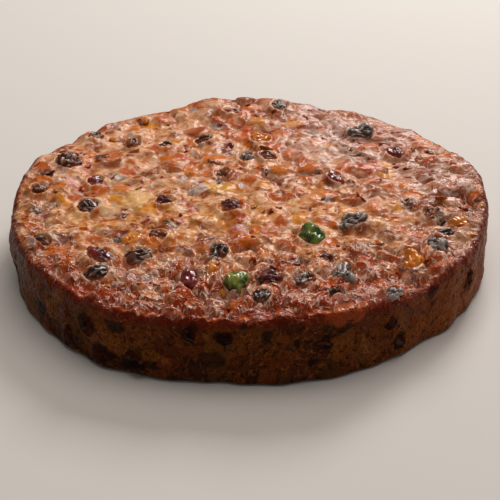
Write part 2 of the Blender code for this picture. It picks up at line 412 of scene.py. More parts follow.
def weighted(tree, *terms, base=0.0):
    """The base and the sum of outputs, each times a number."""
    total = base
    for value, weight in terms:
        step = add(tree, "ShaderNodeMath", {0: value, 1: weight, 2: total}, operation="MULTIPLY_ADD")
        total = step.outputs[0]
    return total


def highest(tree, first, *others):
    """The highest of the values at each point."""
    for other in others:
        first = add(tree, "ShaderNodeMath", {0: first, 1: other}, operation="MAXIMUM").outputs[0]
    return first


def away_from(tree, value, middle):
    """How far the value lies from the middle, either way."""
    off = weighted(tree, (value, 1.0), base=-middle)
    return add(tree, "ShaderNodeMath", {0: off}, operation="ABSOLUTE").outputs[0]


def painted(tree, ground, *coats):
    """The ground's colour under coats laid one over another: each a colour and the parts of its share."""
    for colour, *parts in coats:
        coat = {0: share_of(tree, *parts), 6: ground, 7: colour}
        ground = add(tree, "ShaderNodeMix", coat, data_type="RGBA").outputs[2]
    return ground


def folds(tree, place, size, width):
    """Thin meandering lines, 1 on the line and 0 away from it: the contour lines of a noise."""
    field = add(tree, "ShaderNodeTexNoise", {"Scale": 1 / size, "Detail": 1.0, "Vector": place}).outputs[0]
    return share_of(tree, (away_from(tree, field, 0.5), 0.0, width, 1.0, 0.0))


def cells(tree, place, size):
    """Cells of about that size: their random numbers, and how far it is to a middle and to a border."""
    sockets = {"Scale": 1 / size, "Vector": place}
    middle = add(tree, "ShaderNodeTexVoronoi", sockets, voronoi_dimensions="2D")
    border = add(tree, "ShaderNodeTexVoronoi", sockets, voronoi_dimensions="2D", feature="DISTANCE_TO_EDGE")
    numbers = add(tree, "ShaderNodeSeparateXYZ", {0: middle.outputs["Color"]}).outputs
    return numbers, middle.outputs["Distance"], border.outputs["Distance"]


def skin_pattern(tree, skin):
    """Chopped fruit as bent cells under the folds of the skin, the same for relief and colour."""
    near = share_of(tree, (add(tree, "ShaderNodeSeparateXYZ", {0: skin}).outputs[1], -30.0, -95.0))
    warp = add(tree, "ShaderNodeTexNoise", {"Scale": 0.1, "Detail": 2.0, "Vector": skin}).outputs["Color"]
    centred = add(tree, "ShaderNodeVectorMath", {0: warp, 1: (0.5,) * 3}, operation="SUBTRACT").outputs[0]
    reach = weighted(tree, (near, FRONT_BEND - BEND), base=BEND)
    shift = add(tree, "ShaderNodeVectorMath", {0: centred, "Scale": reach}, operation="SCALE").outputs[0]
    bent = add(tree, "ShaderNodeVectorMath", {0: skin, 1: shift}, operation="ADD").outputs[0]
    chunk, from_middle, from_border = cells(tree, bent, CHUNK_SIZE)
    bit, _, from_bit_border = cells(tree, bent, BIT_SIZE)
    ages = add(tree, "ShaderNodeTexNoise", {"Scale": 0.055, "Detail": 1.0, "Vector": skin}).outputs[0]
    cracked = highest(tree, share_of(tree, (ages, 0.5, 0.6)), share_of(tree, near, 0.7))
    seam = share_of(tree, (from_border, 0.01, 0.12, 1.0, 0.0))
    shows = add(tree, "ShaderNodeMath", {0: chunk[2], 1: 0.4}, operation="GREATER_THAN").outputs[0]
    return {
        "chunk": chunk,
        "bit": bit,
        "height": share_of(tree, chunk[0], (from_border, 0.0, 0.22)),
        "dome": share_of(tree, from_middle, from_middle),
        "fruit": share_of(tree, (from_border, 0.0, 0.26), shows),
        "small_chip": share_of(tree, (from_bit_border, 0.0, 0.3)),
        "crevice": share_of(tree, seam, cracked),
        "ridge": share_of(tree, seam, weighted(tree, (cracked, -1.0), base=1.0)),
        "fold": folds(tree, bent, FOLD_SIZE, 0.09),
        "wrinkle": folds(tree, skin, WRINKLE_SIZE, 0.12),
        "bent": bent,
    }


def relief_tree(name):
    """An empty relief: its node tree, and the function that pushes the surface out along its normal."""
    tree = bpy.data.node_groups.new(name, "GeometryNodeTree")
    tree.interface.new_socket("Geometry", in_out="INPUT", socket_type="NodeSocketGeometry")
    tree.interface.new_socket("Geometry", in_out="OUTPUT", socket_type="NodeSocketGeometry")
    start = add(tree, "NodeGroupInput").outputs[0]

    def push(millimetres):
        normal = add(tree, "GeometryNodeInputNormal").outputs[0]
        metres = share_of(tree, millimetres, MM)
        offset = add(tree, "ShaderNodeVectorMath", {0: normal, "Scale": metres}, operation="SCALE").outputs[0]
        moved = add(tree, "GeometryNodeSetPosition", {"Geometry": start, "Offset": offset})
        add(tree, "NodeGroupOutput", {0: moved.outputs[0]})

    return tree, push


def skin_relief():
    """Pushes the skin out by its pattern: folds raised, crevices sunk, and a lip round the fruit."""
    tree, push = relief_tree("skin_relief")
    skin, loose, lip = (
        add(tree, "GeometryNodeInputNamedAttribute", {"Name": name}, data_type=kind).outputs[0]
        for name, kind in (("skin", "FLOAT_VECTOR"), ("loose", "FLOAT"), ("lip", "FLOAT"))
    )
    pattern = skin_pattern(tree, skin)
    height = weighted(
        tree,
        (pattern["height"], 2.6),
        (pattern["dome"], -2.4),
        (pattern["ridge"], 0.8),
        (pattern["crevice"], -0.8),
        (pattern["fold"], 0.7),
        (pattern["wrinkle"], 0.35),
        base=-0.8,
    )
    lapping = weighted(tree, (pattern["chunk"][1], 1.4), base=1.1)
    push(weighted(tree, (share_of(tree, height, loose), 1.0), (share_of(tree, lip, lapping), 1.0)))
    return tree


def grooves(tree, grain, size):
    """The long wrinkles of a piece of fruit, 0 in a groove and 1 on a ridge."""
    long = add(tree, "ShaderNodeVectorMath", {0: grain, 1: (0.42, 1.0, 1.0)}, operation="MULTIPLY").outputs[0]
    field = add(tree, "ShaderNodeTexNoise", {"Scale": 1 / size, "Detail": 1.5, "Vector": long}).outputs[0]
    return share_of(tree, (away_from(tree, field, 0.5), 0.0, 0.12))


def fruit_relief(name, depth, size):
    """Draws long wrinkles into a piece of fruit, along its own length, and swells it unevenly."""
    tree, push = relief_tree(name)
    named = {"Name": "grain"}
    grain = add(tree, "GeometryNodeInputNamedAttribute", named, data_type="FLOAT_VECTOR").outputs[0]
    lumpy = add(tree, "ShaderNodeTexNoise", {"Scale": 0.16, "Detail": 1.0, "Vector": grain}).outputs[0]
    swollen = share_of(tree, (lumpy, 0.25, 0.75, -1.3, 1.3))
    push(weighted(tree, (grooves(tree, grain, size), depth), (swollen, 1.0)))
    return tree


# The form of the body.


def swell(swells, angle):
    """The sum of the swells at each angle, each a smooth hump."""
    total = np.zeros_like(angle)
    for middle, reach, rise in swells:
        away = np.abs((angle - middle + 180) % 360 - 180)
        total += np.where(away < reach, rise * 0.5 * (1 + np.cos(np.pi * away / reach)), 0)
    return total


def smooth_step(low, high, value):
    """A smooth change from 0 to 1 as the value goes from low to high."""
    share = np.clip((value - low) / (high - low), 0, 1)
    return share * share * (3 - 2 * share)


def lumps(points, size, rise):
    """Soft seeded lumps, the same as in the solid."""
    return np.array([rise * noise.noise(Vector(point) / size) for point in points])


def side_radius(angle):
    return RADIUS + swell(SIDE_SWELLS, angle)


def top_height(x, y):
    """How high the crust stands over points of the plan, inside the rounded edge."""
    reach = np.hypot(x, y) / RADIUS
    angle = np.degrees(np.arctan2(y, x))
    height = HEIGHT + CROWN * (1 - reach * reach)
    height += swell(RIM_SWELLS, angle) * smooth_step(RIM_SWELL_FROM, RIM_SWELL_FULL, reach)
    for middle_x, middle_y, half_length, half_width, heading, rise in MOUNDS:
        turn = math.radians(heading)
        along = (x - middle_x) * math.cos(turn) + (y - middle_y) * math.sin(turn)
        across = (y - middle_y) * math.cos(turn) - (x - middle_x) * math.sin(turn)
        away = np.minimum(np.hypot(along / half_length, across / half_width), 1)
        height += rise * 0.5 * (1 + np.cos(np.pi * away))
    return height + lumps(np.stack([x, y, 0 * x], -1), LUMP_SIZE, LUMP_RISE)


def side_out(angle, height, rim):
    """How far out the side wall stands, with the lumps of the fruit behind it."""
    along = RADIUS * np.radians(angle)
    lump = lumps(np.stack([along, height, RADIUS + 0 * along], -1), SIDE_LUMP_SIZE, SIDE_LUMP_RISE)
    fade = smooth_step(rim - BULGE_DEPTH, rim, height)
    return side_radius(angle) + lump * (1 - fade) + swell((BULGE,), angle) * fade


def square_to_disc(u, v):
    """Points of the unit disc for points of the square, as even in size as the square's cells."""
    wide = np.abs(u) > np.abs(v)
    reach = np.where(wide, u, v)
    safe = np.where(reach == 0, 1, reach)
    turn = np.where(wide, np.pi / 4 * v / safe, np.pi / 2 - np.pi / 4 * u / safe)
    return reach * np.cos(turn), reach * np.sin(turn)


def fruit_nodes():
    return sorted(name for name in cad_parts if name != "cake")


def fruit_box(name):
    """The middle and the half size of a fruit's solid, in millimetres."""
    low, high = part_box(name)
    return (low + high) / 2 / MM, (high - low) / 2 / MM


def around_fruit(x, y, z):
    """How far the skin may lift, 0 under a piece of fruit, and the lip that it has round the fruit."""
    loose = np.ones_like(x)
    lip = np.zeros_like(x)
    for name in fruit_nodes():
        middle, half = fruit_box(name)
        aside = ((x - middle.x) / half.x) ** 2 + ((y - middle.y) / half.y) ** 2
        away = np.sqrt(aside + ((z - middle.z) / (half.z * FRUIT_REACH_UP)) ** 2)
        loose = np.minimum(loose, smooth_step(*LIFTS, away))
        lip = np.maximum(lip, smooth_step(*LIP_RISES, away) * (1 - smooth_step(*LIP_FALLS, away)))
    return loose, lip


def side_patches():
    """The patches of the side that shows, and seeded ones all round the back."""
    pick = random.Random(3)
    patches = list(SIDE_PATCHES)
    for at in range(BACK_PATCHES):
        angle = (BACK_FROM + (at + pick.uniform(-BACK_SHIFT, BACK_SHIFT)) * BACK_STEP) % 360
        length = pick.uniform(*BACK_SIZES)
        height = pick.uniform(*BACK_HEIGHTS)
        tall = length * pick.uniform(*BACK_FLATNESS)
        patches.append((angle, height, length, tall, pick.choice(SIDE_PATCH_COLOURS)))
    return patches


def dye_skin(place, depth):
    """The colour that fruit under the film gives the skin, with the grey film patches partly painted sheen,
    and how strongly, at each of its points.
    """
    x, y, z = place.T
    colour = np.zeros((len(x), 3))
    strength = np.zeros(len(x))
    noise.seed_set(DYE_SEED)
    wander = DYE_WANDER * np.array([noise.noise_vector(Vector(point) / DYE_WANDER_SIZE) for point in place])
    top = depth < SIDE_LOOK_FROM

    def lay(along, across, length, width, code, there):
        share = (1 - smooth_step(*DYE_FADES, np.hypot(2 * along / length, 2 * across / width))) * there
        colour[:] += share[:, None] * (np.array(linear(code)[:3]) - colour)
        strength[:] = np.maximum(strength, share)

    top_pieces_seen = PEEL_PIECES + CHERRY_PIECES + RAISIN_PIECES + FILM_SHEEN_PATCHES
    for middle_x, middle_y, length, width, heading, code in top_pieces_seen:
        turn = math.radians(heading)
        right = x - middle_x + wander[:, 0]
        up = y - middle_y + wander[:, 1]
        along = right * math.cos(turn) + up * math.sin(turn)
        across = up * math.cos(turn) - right * math.sin(turn)
        lay(along, across, length, width, code, top)
    angle = np.degrees(np.arctan2(y, x))
    for middle, height, length, tall, code in side_patches():
        along = RADIUS * np.radians((angle - middle + 180) % 360 - 180) + wander[:, 0]
        lay(along, z - height + wander[:, 2], length, tall, code, ~top)
    return np.concatenate([colour, strength[:, None]], 1)


# Meshes.


def clear_selection():
    if bpy.context.object and bpy.context.object.mode != "OBJECT":
        bpy.ops.object.mode_set(mode="OBJECT")
    bpy.ops.object.select_all(action="DESELECT")


def apply_all(piece):
    clear_selection()
    piece.select_set(True)
    bpy.context.view_layer.objects.active = piece
    for modifier in list(piece.modifiers):
        bpy.ops.object.modifier_apply(modifier=modifier.name)


def points_of(mesh):
    flat = np.empty(len(mesh.vertices) * 3)
    mesh.vertices.foreach_get("co", flat)
    return flat.reshape(-1, 3)


def keep_field(mesh, name, kind, values):
    """Keeps a value for each point of the mesh as an attribute."""
    key = {"FLOAT": "value", "FLOAT_VECTOR": "vector", "FLOAT_COLOR": "color"}[kind]
    mesh.attributes.new(name, kind, "POINT").data.foreach_set(key, np.ravel(values))


def body_places(grid):
    """Each point of the flat grid: on the body, unrolled, how far past the top, and if it stays still."""
    row = np.rint(-grid[:, 2]).astype(int)
    x, y = square_to_disc(grid[:, 0], grid[:, 1])
    angle = np.degrees(np.arctan2(y, x))
    turn = np.radians(angle)
    radius = side_radius(angle)
    inner = (radius - EDGE_RADIUS) * np.hypot(x, y)
    rim = top_height((radius - EDGE_RADIUS) * np.cos(turn), (radius - EDGE_RADIUS) * np.sin(turn))
    shoulder = rim - EDGE_RADIUS

    last = EDGE_STEPS + SIDE_ROWS
    corner = np.radians(90 * np.clip(row / EDGE_STEPS, 0, 1))
    fall = np.clip((row - EDGE_STEPS) / SIDE_ROWS, 0, 1)
    rounded = shoulder + EDGE_RADIUS * np.cos(corner)
    height = np.where(row <= EDGE_STEPS, rounded, shoulder + (FOOT_TURN - shoulder) * fall)
    out = side_out(angle, height, rim) - EDGE_RADIUS * (1 - np.sin(corner))
    foot = row > last
    out = np.where(foot, out - FOOT_TURN, out)
    height = np.where(foot, 0, height)
    top = row == 0
    out = np.where(top, inner, out)
    place = np.stack([out * np.cos(turn), out * np.sin(turn), height], -1)
    place[top, 2] = top_height(place[top, 0], place[top, 1])

    past_edge = EDGE_RADIUS * np.pi / 2 + (shoulder - height)
    below = np.where(row <= EDGE_STEPS, EDGE_RADIUS * corner, past_edge)
    spread = np.where(top, inner, radius - EDGE_RADIUS + below)
    skin = np.stack([spread * np.cos(turn), spread * np.sin(turn), 0 * spread], -1)
    depth = np.where(top, inner - (radius - EDGE_RADIUS), below)
    return place, skin, depth, row >= last


def crumpled(place, depth):
    """How crumpled the crust is at each point, from 0 to 1: the front, the right and the rim's front."""
    x, y, _ = place.T
    right = RIGHT_SHARE * smooth_step(*RIGHT_CRUMPLED, x - RIGHT_LEAN * y)
    edge = smooth_step(*RIM_CRUMPLED, depth) * smooth_step(*RIM_FADES_BACK, y)
    return np.maximum(np.maximum(smooth_step(*FRONT_CRUMPLED, -y), right), edge)


def cake_skin():
    """The whole body: a fine disc on top, its rim drawn down the side in rows, closed underneath."""
    clear_selection()
    bpy.ops.mesh.primitive_grid_add(x_subdivisions=TOP_CELLS, y_subdivisions=TOP_CELLS, size=2)
    piece = bpy.context.object
    piece.name = "cake_crust"
    bpy.ops.object.mode_set(mode="EDIT")
    bpy.ops.mesh.select_all(action="SELECT")
    bpy.ops.mesh.region_to_loop()
    bpy.ops.mesh.extrude_repeat(steps=EDGE_STEPS + SIDE_ROWS + 1, offset=(0, 0, -1), scale_offset=1)
    bpy.ops.mesh.edge_face_add()
    bpy.ops.object.mode_set(mode="OBJECT")

    mesh = piece.data
    place, skin, depth, still = body_places(points_of(mesh))
    loose, lip = around_fruit(*place.T)
    coarse = crumpled(place, depth)
    on_side = smooth_step(*SIDE_BEGINS, depth)
    loose *= ~still * (CALM_LIFT + CRUMPLED_LIFT * coarse) * (1 - SIDE_LIFT_LOST * on_side)
    lip *= ~still * (1 - SIDE_LIP_LOST * on_side)

    mesh.vertices.foreach_set("co", (place * MM).ravel())
    keep_field(mesh, "skin", "FLOAT_VECTOR", skin)
    for name, values in (("depth", depth), ("loose", loose), ("lip", lip), ("coarse", coarse)):
        keep_field(mesh, name, "FLOAT", values)
    keep_field(mesh, "dye", "FLOAT_COLOR", dye_skin(place, depth))
    mesh.update()
    bm = bmesh.new()
    bm.from_mesh(mesh)
    bmesh.ops.recalc_face_normals(bm, faces=bm.faces)
    bm.to_mesh(mesh)
    bm.free()
    mesh.shade_smooth()
    piece.modifiers.new("skin folds", "NODES").node_group = skin_relief()
    apply_all(piece)
    return piece


def grain_of(mesh, seed):
    """The fruit's own axes, along it first, and places on them in millimetres."""
    place = points_of(mesh) / MM
    place -= place.mean(0)
    axes = np.linalg.eigh(place.T @ place)[1][:, ::-1]
    return place @ axes + 100.0 * seed


def proud_of(mesh):
    """How far each point of a fruit stands out of the body, in millimetres."""
    x, y, z = points_of(mesh).T / MM
    angle = np.degrees(np.arctan2(y, x))
    if np.hypot(x, y).mean() < RADIUS - EDGE_RADIUS:
        return z - top_height(x, y)
    return np.hypot(x, y) - side_out(angle, z, HEIGHT + 0 * z)


def fruit_piece(name, relief, seed):
    """A fine copy of one solid of fruit, rounded, and wrinkled by its relief."""
    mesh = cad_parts[name].data.copy()
    mesh.name = name + "_skin"
    bm = bmesh.new()
    bm.from_mesh(mesh)
    bmesh.ops.remove_doubles(bm, verts=bm.verts, dist=0.01 * MM)
    middle = sum((point.co for point in bm.verts), Vector()) / len(bm.verts)
    for point in bm.verts:
        point.co = middle + (point.co - middle) * SKIN_SWELL
    bm.to_mesh(mesh)
    bm.free()
    mesh.materials.clear()
    piece = bpy.data.objects.new(name + "_skin", mesh)
    bpy.context.scene.collection.objects.link(piece)
    smooth = piece.modifiers.new("rounding", "SUBSURF")
    smooth.levels = 3
    smooth.render_levels = 3
    apply_all(piece)
    keep_field(mesh, "grain", "FLOAT_VECTOR", grain_of(mesh, seed))
    piece.modifiers.new("wrinkles", "NODES").node_group = relief
    apply_all(piece)
    keep_field(mesh, "proud", "FLOAT", proud_of(mesh))
    mesh.shade_smooth()
    return piece


# The small chopped fruit that lies in the crust.


def lump_form():
    """One plain lump, 2 across, a little flattened, that every small piece starts from."""
    clear_selection()
    bpy.ops.mesh.primitive_ico_sphere_add(subdivisions=2, radius=1)
    bpy.ops.object.mode_set(mode="EDIT")
    bpy.ops.mesh.select_all(action="SELECT")
    bpy.ops.transform.resize(value=(1, 1, 0.8))
    bpy.ops.object.mode_set(mode="OBJECT")
    lump = bpy.context.object
    points = points_of(lump.data)
    faces = [tuple(face.vertices) for face in lump.data.polygons]
    bpy.data.objects.remove(lump)
    return points, faces


def settle(surface, x, y):
    """Where the crust lies under a place of the plan, in millimetres, and which way it faces there."""
    hit, normal, *_ = surface.ray_cast(Vector((x, y, ABOVE_CAKE)) * MM, Vector((0, 0, -1)))
    return hit / MM, normal


def chopped(name, form, pieces):
    """Small pieces as one mesh, each with a place, facing, heading, half sizes, height and colour."""
    points, faces = form
    corners, sides, dyes, grains = [], [], [], []
    for at, (hit, normal, heading, size, proud, colour) in enumerate(pieces):
        upright = normal.to_track_quat("Z", "Y").to_matrix()
        turned = np.array(upright @ Matrix.Rotation(heading, 3, "Z"))
        own = points * np.array(size)
        apart = Vector((at * 7.3, 0, 0))
        rough = np.array([noise.noise(Vector(point) * CHOPPED_ROUGH_SCALE + apart) for point in points])
        own = own * (1 + CHOPPED_ROUGHNESS * rough[:, None])
        middle = np.array(hit) + np.array(normal) * (proud - size[2] * CHOPPED_SINKS)
        sides += [tuple(corner + at * len(points) for corner in face) for face in faces]
        corners.append(own @ turned.T + middle)
        grains.append(own + 50.0 * at)
        dyes += linear(colour) * len(points)
    mesh = bpy.data.meshes.new(name)
    mesh.from_pydata(np.concatenate(corners) * MM, [], sides)
    keep_field(mesh, "dye", "FLOAT_COLOR", dyes)
    keep_field(mesh, "grain", "FLOAT_VECTOR", np.concatenate(grains))
    mesh.shade_smooth()
    piece = bpy.data.objects.new(name, mesh)
    bpy.context.scene.collection.objects.link(piece)
    return piece


def hand_pieces(surface, taken, table, proud):
    """Pieces at the places that the table gives."""
    pieces = []
    for x, y, length, width, heading, colour in table:
        taken.append((x, y, max(length, width) * 0.45))
        size = (length / 2, width / 2, min(length, width) * 0.2)
        pieces.append((*settle(surface, x, y), math.radians(heading), size, proud, colour))
    return pieces


def clear_of(taken, x, y, gap):
    """True where no earlier piece lies within the gap; the place is then taken."""
    for other_x, other_y, other_gap in taken:
        if (x - other_x) ** 2 + (y - other_y) ** 2 < (gap + other_gap) ** 2:
            return False
    taken.append((x, y, gap))
    return True


def top_pieces(surface, taken, count, lengths, proud, colours):
    """Seeded pieces over the top, none on another."""
    pieces = []
    while len(pieces) < count:
        reach = RADIUS * math.sqrt(random.random()) * 0.95
        turn = random.uniform(0, math.tau)
        x = reach * math.cos(turn)
        y = reach * math.sin(turn)
        half = random.uniform(*lengths) / 2
        heading = random.gauss(math.pi / 2, 0.6)
        if not clear_of(taken, x, y, half * 0.9):
            continue
        size = (half, half * random.uniform(0.45, 0.8), half * random.uniform(0.25, 0.4))
        stands = proud * random.uniform(0.5, 1.2)
        pieces.append((*settle(surface, x, y), heading, size, stands, random.choice(colours)))
    return pieces


# The materials.


def food_material(name, roughness, specular, values):
    """A new material, its nodes and its shader, with these values on the shader's own sockets."""
    look = bpy.data.materials.new(name)
    look.use_nodes = True
    shader = look.node_tree.nodes["Principled BSDF"]
    shared = {"Roughness": roughness, "Specular IOR Level": specular, "IOR": FOOD_IOR}
    for socket, value in {**shared, **values}.items():
        shader.inputs[socket].default_value = value
    return look, look.node_tree, shader


def finish(tree, shader, colour, height, strength, reach):
    """Gives the shader its colour and its fine relief, whose reach is in millimetres."""
    tree.links.new(colour, shader.inputs["Base Color"])
    bump = add(tree, "ShaderNodeBump", {"Strength": strength, "Distance": reach * MM, "Height": height})
    tree.links.new(bump.outputs[0], shader.inputs["Normal"])


def crust_film(tree, pattern, skin):
    """The dried film's strands, 1 on a strand: along the folds, and finer ones that come and go; painted
    pale, they are partly the film's own colour and partly painted highlights.
    """
    worn = add(tree, "ShaderNodeTexNoise", {"Scale": 0.16, "Detail": 2.0, "Vector": skin}).outputs["Color"]
    shown = add(tree, "ShaderNodeSeparateXYZ", {0: worn}).outputs
    web = highest(
        tree,
        share_of(tree, folds(tree, pattern["bent"], FOLD_SIZE, 0.03), (shown[0], 0.4, 0.5)),
        share_of(tree, folds(tree, skin, WRINKLE_SIZE, 0.045), (shown[1], 0.46, 0.54)),
        share_of(tree, folds(tree, pattern["bent"], STRAND_SIZE, 0.07), (shown[2], 0.52, 0.58, 0.0, 0.55)),
    )
    fading = add(tree, "ShaderNodeTexNoise", {"Scale": 0.4, "Detail": 1.0, "Vector": skin}).outputs[0]
    off_fruit = weighted(tree, (pattern["fruit"], -0.45), base=1.0)
    return share_of(tree, web, (fading, 0.35, 0.6, 0.25, 1.0), off_fruit)


def cake_places(tree, skin, depth):
    """Where on the cake a point lies, as shares from 0 to 1 that the colours follow."""
    along = add(tree, "ShaderNodeSeparateXYZ", {0: skin}).outputs
    coarse = add(tree, "ShaderNodeAttribute", attribute_name="coarse").outputs["Fac"]
    edge = share_of(tree, (depth, -14.0, -1.0))
    mottle, broad, pits = (
        add(tree, "ShaderNodeTexNoise", {"Scale": scale, "Detail": detail, "Vector": skin}).outputs[0]
        for scale, detail in ((0.22, 2.0), (0.045, 2.0), (0.35, 3.0))
    )
    return {
        "front": share_of(tree, (along[1], -30.0, -105.0)),
        "amber": share_of(tree, (along[1], 25.0, -25.0)),
        # painted sheen: the back right of the top is paler and pinker
        "sheen_back_right": share_of(tree, (weighted(tree, (along[0], 0.8), (along[1], 0.6)), 20.0, 100.0)),
        "right": share_of(tree, (weighted(tree, (along[0], 0.9), (along[1], 0.35)), 25.0, 90.0)),
        # painted light: how much lighter the side is towards the right
        "lit_right_side": share_of(tree, (along[0], 40.0, 130.0, 0.0, 0.75)),
        "coarse": coarse,
        "edge": edge,
        "laid": share_of(tree, coarse, weighted(tree, (edge, -0.6), base=1.0)),
        "mottle": mottle,
        "broad": broad,
        "pits": pits,
    }


def crumb_colour(tree, pattern, where, dye):
    """Tan cake with soft-edged chips of amber, orange and brick, browner at the front, with painted shade in
    its crevices and between its lumps, painted highlights on its ridges and a painted sheen at the back
    right.
    """
    chunk, bit = pattern["chunk"], pattern["bit"]
    front, mottle, broad = where["front"], where["mottle"], where["broad"]
    fruit = add(tree, "ShaderNodeValToRGB", {0: chunk[1]}, FRUIT_STOPS)
    small = add(tree, "ShaderNodeValToRGB", {0: bit[1]}, SMALL_FRUIT_STOPS)
    for chips in (fruit, small):
        chips.color_ramp.interpolation = "CONSTANT"
    clear = painted(tree, fruit.outputs[0], ("#C06814", mottle, 0.3), ("#A23A08", front, 0.5))
    plain, warm, brick = (
        add(tree, "ShaderNodeValToRGB", {0: mottle}, stops).outputs[0]
        for stops in (PLAIN_STOPS, WARM_STOPS, BRICK_STOPS)
    )
    chosen = add(tree, "ShaderNodeMath", {0: bit[2], 1: 0.84}, operation="GREATER_THAN").outputs[0]
    crumb = painted(
        tree,
        plain,
        (warm, where["amber"]),
        (brick, front),
        # painted sheen: a paler, pinker tone at the back right
        ("#B0745A", where["sheen_back_right"]),
        (clear, pattern["fruit"], 0.95),
        # small chips, a few of them grey as painted sheen
        (small.outputs[0], chosen, pattern["small_chip"]),
        # painted shade: the crevices between the chips are darker
        ("#6E2406", pattern["crevice"], weighted(tree, (where["coarse"], 0.45), base=0.55)),
        # painted shade: each lump is darker away from its middle, in the hollows between lumps
        ("#6E2206", (pattern["dome"], 0.1, 0.34), weighted(tree, (front, 0.2), base=0.22)),
        # painted highlight: pale lines on the raised ridges of the skin
        ("#DCA47C", pattern["ridge"], 0.25),
    )
    dyed = painted(tree, dye.outputs["Color"], (crumb, (mottle, 0.42, 0.62, 0.1, 0.6)))
    return painted(
        tree,
        crumb,
        (dyed, dye.outputs["Alpha"]),
        ("#7A2808", (broad, 0.46, 0.3, 0.0, 0.4)),
        ("#D8986C", (broad, 0.56, 0.72, 0.0, 0.35)),
        ("#842406", where["edge"], front, 0.8),
    )


def filmed_colour(tree, pattern, skin, depth, where, film, crumb):
    """The crumb under its dried film, which is deep where it is clear and pale where it lifts, with painted
    sheen, glints and highlights on the film and painted shade in its pits.
    """
    coarse, laid, mottle = where["coarse"], where["laid"], where["mottle"]
    veil_and_sheen_noise = {"Scale": 0.08, "Detail": 4.5, "Vector": pattern["bent"]}
    veil_and_sheen = add(tree, "ShaderNodeTexNoise", veil_and_sheen_noise).outputs[0]
    glint_specks = add(tree, "ShaderNodeTexNoise", {"Scale": 1.1, "Detail": 1.0, "Vector": skin}).outputs[0]
    lip = add(tree, "ShaderNodeAttribute", attribute_name="lip").outputs["Fac"]
    off_sheen_patch = add(tree, "ShaderNodeVectorMath", {0: skin, 1: SHEEN_PATCH_MIDDLE}, operation="DISTANCE")
    long = add(tree, "ShaderNodeMapping", {"Vector": skin, "Scale": (0.3, 1.0, 1.0)}).outputs[0]
    brushed_sheen = {"Scale": 0.3, "Detail": 3.0, "Distortion": 0.4, "Vector": long}
    sheen_streaks = add(tree, "ShaderNodeTexNoise", brushed_sheen).outputs[0]
    off_rim_highlight = away_from(tree, depth, 0.6)
    return painted(
        tree,
        crumb,
        ("#B44408", (veil_and_sheen, 0.5, 0.42), coarse, 0.4),
        # painted sheen: pale patches of film on the crumpled glaze
        ("#E8C2AA", (veil_and_sheen, 0.51, 0.58), laid, 0.3),
        # pale film lapping round the fruit: partly its own colour, partly painted highlight on the raised lip
        ("#E0BC9E", (lip, 0.6, 0.95, 0.0, 0.5), (mottle, 0.4, 0.55)),
        # painted shade: small dark pits in the crumpled crust
        ("#4E1404", (where["pits"], 0.46, 0.38), coarse, 0.6),
        # pale strands of film: partly the dried film's own colour, partly painted highlights along its
        # wrinkles
        ("#FAE0CE", (film, 0.1, 0.7), weighted(tree, (laid, 0.5), base=0.3)),
        # painted glints: tiny pale specks where the crumpled film would catch the light
        ("#F8ECE4", (glint_specks, 0.64, 0.7), laid, 0.7),
        # painted sheen: a broad pale patch at the back right
        ("#EED6CC", (off_sheen_patch.outputs["Value"], SHEEN_PATCH_REACH, 8.0, 0.0, 0.5), (mottle, 0.38, 0.6)),
        # painted sheen: pale streaks across the film at the right
        ("#E0CABE", (sheen_streaks, 0.52, 0.6), where["right"], 0.45),
        # painted highlight: a thin bright line along the front rim's edge
        ("#D0703A", (off_rim_highlight, 1.3, 0.3), (where["broad"], 0.42, 0.56), where["front"], 0.7),
    )


def side_colour(tree, pattern, depth, where, film, dye, wander):
    """The baked side: nearly black fruit in olive brown, with painted shade in small pits and painted light
    towards the right, and red-brown under the rim.
    """
    fruit = add(tree, "ShaderNodeValToRGB", {0: pattern["chunk"][1]}, SIDE_FRUIT_STOPS).outputs[0]
    side = painted(
        tree,
        fruit,
        ("#4E2208", (where["mottle"], 0.35, 0.65, 0.0, 0.35)),
        # painted light: the side is lighter and warmer towards the right
        ("#9E5018", where["lit_right_side"]),
        # pale strands of film on the side: partly their own colour, partly painted highlights
        ("#B0642C", film, 0.6),
        # painted shade: small dark pits in the side
        ("#1E0600", (where["pits"], 0.48, 0.34, 0.0, 0.75)),
    )
    return painted(
        tree,
        "#661804",
        (side, (wander, 2.0, 9.0)),
        # pale film strands near the rim: partly their own colour, partly painted highlights
        ("#C8784C", film, (depth, 8.0, 1.0, 0.0, 0.4)),
        (dye.outputs["Color"], dye.outputs["Alpha"], 0.8),
    )


def crust_material(name, roughness, specular, grit):
    """Baked cake skin over chopped fruit: a thin sugar gloss, and light that sinks in a little."""
    scattering = {"Subsurface Weight": 0.12, "Subsurface Scale": 2.5 * MM}
    look, tree, shader = food_material(name, roughness, specular, scattering)
    skin = add(tree, "ShaderNodeAttribute", attribute_name="skin").outputs["Vector"]
    depth = add(tree, "ShaderNodeAttribute", attribute_name="depth").outputs["Fac"]
    dye = add(tree, "ShaderNodeAttribute", attribute_name="dye")
    pattern = skin_pattern(tree, skin)
    film = crust_film(tree, pattern, skin)
    where = cake_places(tree, skin, depth)
    crumb = crumb_colour(tree, pattern, where, dye)
    top = filmed_colour(tree, pattern, skin, depth, where, film, crumb)
    wander = weighted(tree, (where["mottle"], 9.0), (depth, 1.0), base=-4.5)
    side = side_colour(tree, pattern, depth, where, film, dye, wander)
    colour = painted(tree, top, (side, (wander, 0.0, 3.0)))

    fine = add(tree, "ShaderNodeTexNoise", {"Scale": 0.8, "Detail": 2.0, "Vector": skin}).outputs[0]
    height = weighted(tree, (pattern["wrinkle"], 0.2), (pattern["fold"], 0.4), (film, 0.5), (fine, grit))
    shown = share_of(tree, height, weighted(tree, (where["coarse"], 0.9), base=0.1))
    finish(tree, shader, colour, shown, 1.0, 0.8)
    return look


